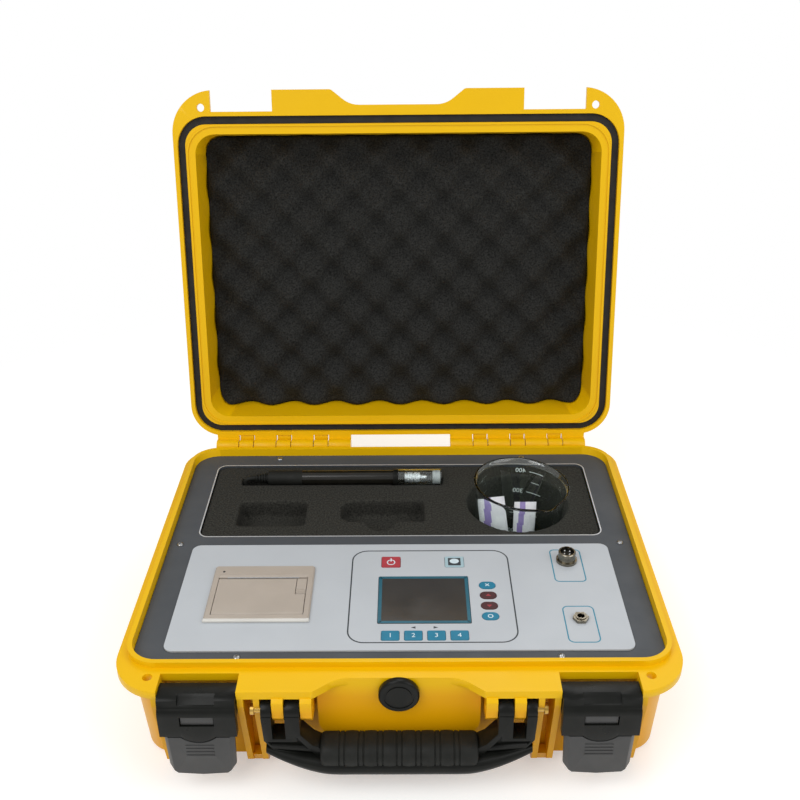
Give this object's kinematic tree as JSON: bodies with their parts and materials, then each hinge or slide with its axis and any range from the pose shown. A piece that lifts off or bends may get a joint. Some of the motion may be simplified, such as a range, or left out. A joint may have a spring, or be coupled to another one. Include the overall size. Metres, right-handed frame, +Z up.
{
  "type": "benchtop density meter",
  "caption": "Portable density meter in an open carry case: instrument panel with display, keys, strip printer and sockets, and a foam tray with a beaker and a probe.",
  "frame": {"origin": "centre of the case base's underside, between the tub's walls", "axes": "+Z up, -Y towards the user at the handle and latches, +X to the user's right"},
  "size_m": [0.406, 0.4593, 0.4144],
  "materials": {
    "case_yellow": "semi-gloss moulded",
    "panel_grey": "fine texture",
    "plate_grey": "matt film",
    "black_plastic": "moulded",
    "dark_grey_plastic": "moulded",
    "foam_black": "open-cell foam",
    "rubber_black": "matt",
    "steel": "brushed",
    "brass": "turned",
    "chrome": "polished",
    "aluminium": "satin",
    "glass": "clear",
    "clear_plastic": "clear",
    "beige_plastic": "moulded",
    "key_red": "matt film",
    "key_teal": "matt film",
    "key_pale": "matt film",
    "key_maroon": "matt film",
    "board_green": "laminate",
    "paper": "thermal paper",
    "battery_blue": "wrapped",
    "window_dark": "clear over grey"
  },
  "bodies": {
    "case": {"base_shell": "case_yellow", "hinge_pins": "steel", "panel_plate": "panel_grey", "faceplate": "plate_grey", "panel_screws": "steel", "foam_insert": "foam_black", "display_window": "window_dark", "display_module": "board_green", "keypad_board": "board_green", "main_board": "board_green", "board_standoffs": "brass", "battery_pack": "battery_blue", "battery_bracket": "steel", "input_socket": "steel", "input_insert": "black_plastic", "input_nut": "steel", "power_jack": "chrome", "power_nut": "chrome", "printer_bezel": "beige_plastic", "printer_housing": "black_plastic", "print_head": "aluminium", "printer_door_pin": "steel", "handle_pins": "brass", "latch_pins": "steel", "valve_body": "brass", "valve_seal": "rubber_black"},
    "lid": {"lid_shell": "case_yellow", "lid_gasket": "rubber_black", "lid_foam": "foam_black"},
    "handle": {"handle_frame": "black_plastic", "handle_grip": "rubber_black"},
    "valve_knob": {"valve_knob": "black_plastic"},
    "door": {"printer_door": "beige_plastic"},
    "door_lever": {"door_lever": "beige_plastic"},
    "platen": {"platen_roller": "rubber_black"},
    "paper_roll": {"paper_roll": "paper"},
    "beaker": {"beaker": "glass"},
    "probe": {"probe_body": "black_plastic", "probe_collar": "black_plastic", "probe_grip": "rubber_black", "probe_cell": "black_plastic", "probe_cap": "clear_plastic", "probe_boot": "rubber_black", "probe_lead": "rubber_black"},
    "key_power": {"key_power": "key_red"},
    "key_light": {"key_light": "key_pale"},
    "key_escape": {"key_escape": "key_teal"},
    "key_up": {"key_up": "key_maroon"},
    "key_down": {"key_down": "key_maroon"},
    "key_enter": {"key_enter": "key_teal"},
    "key_f1": {"key_f1": "key_teal"},
    "key_f2": {"key_f2": "key_teal"},
    "key_f3": {"key_f3": "key_teal"},
    "key_f4": {"key_f4": "key_teal"},
    "latch_link_left": {"latch_link_left": "black_plastic"},
    "latch_body_left": {"latch_body_left": "black_plastic"},
    "latch_tab_left": {"latch_tab_left": "dark_grey_plastic"},
    "latch_link_right": {"latch_link_right": "black_plastic"},
    "latch_body_right": {"latch_body_right": "black_plastic"},
    "latch_tab_right": {"latch_tab_right": "dark_grey_plastic"}
  },
  "joints": [
    {"name": "lid_hinge", "type": "hinge", "parent": "case", "child": "lid", "pos_m": [0, 0.1621, 0.0894], "axis": [1, 0, 0], "range_deg": [0, 102]},
    {"name": "handle_swing", "type": "hinge", "parent": "case", "child": "handle", "pos_m": [0, -0.168, 0.0735], "axis": [-1, 0, 0], "range_deg": [0, 95]},
    {"name": "valve_turn", "type": "hinge", "parent": "case", "child": "valve_knob", "pos_m": [0, -0.1575, 0.079], "axis": [0, -1, 0], "range_deg": [0, 180]},
    {"name": "latch_link_left_swing", "type": "hinge", "parent": "case", "child": "latch_link_left", "pos_m": [-0.14025, -0.1575, 0.077], "axis": [-1, 0, 0], "range_deg": [0, 78]},
    {"name": "latch_body_left_swing", "type": "hinge", "parent": "latch_link_left", "child": "latch_body_left", "pos_m": [-0.14025, -0.16938, 0.07533], "axis": [1, 0, 0], "range_deg": [0, 78]},
    {"name": "latch_tab_left_press", "type": "hinge", "parent": "latch_body_left", "child": "latch_tab_left", "pos_m": [-0.14025, -0.17328, 0.06713], "axis": [-1, 0, 0], "range_deg": [0, 5], "stiffness_Nm_per_rad": 0.5},
    {"name": "latch_link_right_swing", "type": "hinge", "parent": "case", "child": "latch_link_right", "pos_m": [0.14025, -0.1575, 0.077], "axis": [-1, 0, 0], "range_deg": [0, 78]},
    {"name": "latch_body_right_swing", "type": "hinge", "parent": "latch_link_right", "child": "latch_body_right", "pos_m": [0.14025, -0.16938, 0.07533], "axis": [1, 0, 0], "range_deg": [0, 78]},
    {"name": "latch_tab_right_press", "type": "hinge", "parent": "latch_body_right", "child": "latch_tab_right", "pos_m": [0.14025, -0.17328, 0.06713], "axis": [-1, 0, 0], "range_deg": [0, 5], "stiffness_Nm_per_rad": 0.5},
    {"name": "printer_door_swing", "type": "hinge", "parent": "case", "child": "door", "pos_m": [-0.108, -0.0893, 0.0914], "axis": [-1, 0, 0], "range_deg": [-100, 0]},
    {"name": "door_lever_lift", "type": "hinge", "parent": "door", "child": "door_lever", "pos_m": [-0.0769, -0.0664, 0.0923], "axis": [-1, 0, 0], "range_deg": [-25, 0], "stiffness_Nm_per_rad": 0.02},
    {"name": "platen_turn", "type": "hinge", "parent": "door", "child": "platen", "pos_m": [-0.108, -0.0532, 0.0868], "axis": [-1, 0, 0], "continuous": true},
    {"name": "paper_roll_turn", "type": "hinge", "parent": "case", "child": "paper_roll", "pos_m": [-0.108, -0.0685, 0.0583], "axis": [-1, 0, 0], "continuous": true},
    {"name": "beaker_lift", "type": "slide", "parent": "case", "child": "beaker", "axis": [0, 0, -1], "range_m": [-0.12, 0]},
    {"name": "probe_lift", "type": "slide", "parent": "case", "child": "probe", "axis": [0, 0, -1], "range_m": [-0.08, 0]},
    {"name": "key_power_press", "type": "slide", "parent": "case", "child": "key_power", "axis": [0, 0, -1], "range_m": [0, 0.0004], "stiffness_N_per_m": 1200},
    {"name": "key_light_press", "type": "slide", "parent": "case", "child": "key_light", "axis": [0, 0, -1], "range_m": [0, 0.0004], "stiffness_N_per_m": 1200},
    {"name": "key_escape_press", "type": "slide", "parent": "case", "child": "key_escape", "axis": [0, 0, -1], "range_m": [0, 0.0004], "stiffness_N_per_m": 1200},
    {"name": "key_up_press", "type": "slide", "parent": "case", "child": "key_up", "axis": [0, 0, -1], "range_m": [0, 0.0004], "stiffness_N_per_m": 1200},
    {"name": "key_down_press", "type": "slide", "parent": "case", "child": "key_down", "axis": [0, 0, -1], "range_m": [0, 0.0004], "stiffness_N_per_m": 1200},
    {"name": "key_enter_press", "type": "slide", "parent": "case", "child": "key_enter", "axis": [0, 0, -1], "range_m": [0, 0.0004], "stiffness_N_per_m": 1200},
    {"name": "key_f1_press", "type": "slide", "parent": "case", "child": "key_f1", "axis": [0, 0, -1], "range_m": [0, 0.0004], "stiffness_N_per_m": 1200},
    {"name": "key_f2_press", "type": "slide", "parent": "case", "child": "key_f2", "axis": [0, 0, -1], "range_m": [0, 0.0004], "stiffness_N_per_m": 1200},
    {"name": "key_f3_press", "type": "slide", "parent": "case", "child": "key_f3", "axis": [0, 0, -1], "range_m": [0, 0.0004], "stiffness_N_per_m": 1200},
    {"name": "key_f4_press", "type": "slide", "parent": "case", "child": "key_f4", "axis": [0, 0, -1], "range_m": [0, 0.0004], "stiffness_N_per_m": 1200}
  ],
  "couplings": [
    {"joint": "latch_body_left_swing", "follows": "latch_link_left_swing", "ratio": 1},
    {"joint": "latch_body_right_swing", "follows": "latch_link_right_swing", "ratio": 1},
    {"joint": "platen_turn", "follows": "paper_roll_turn", "ratio": -3.75}
  ]
}
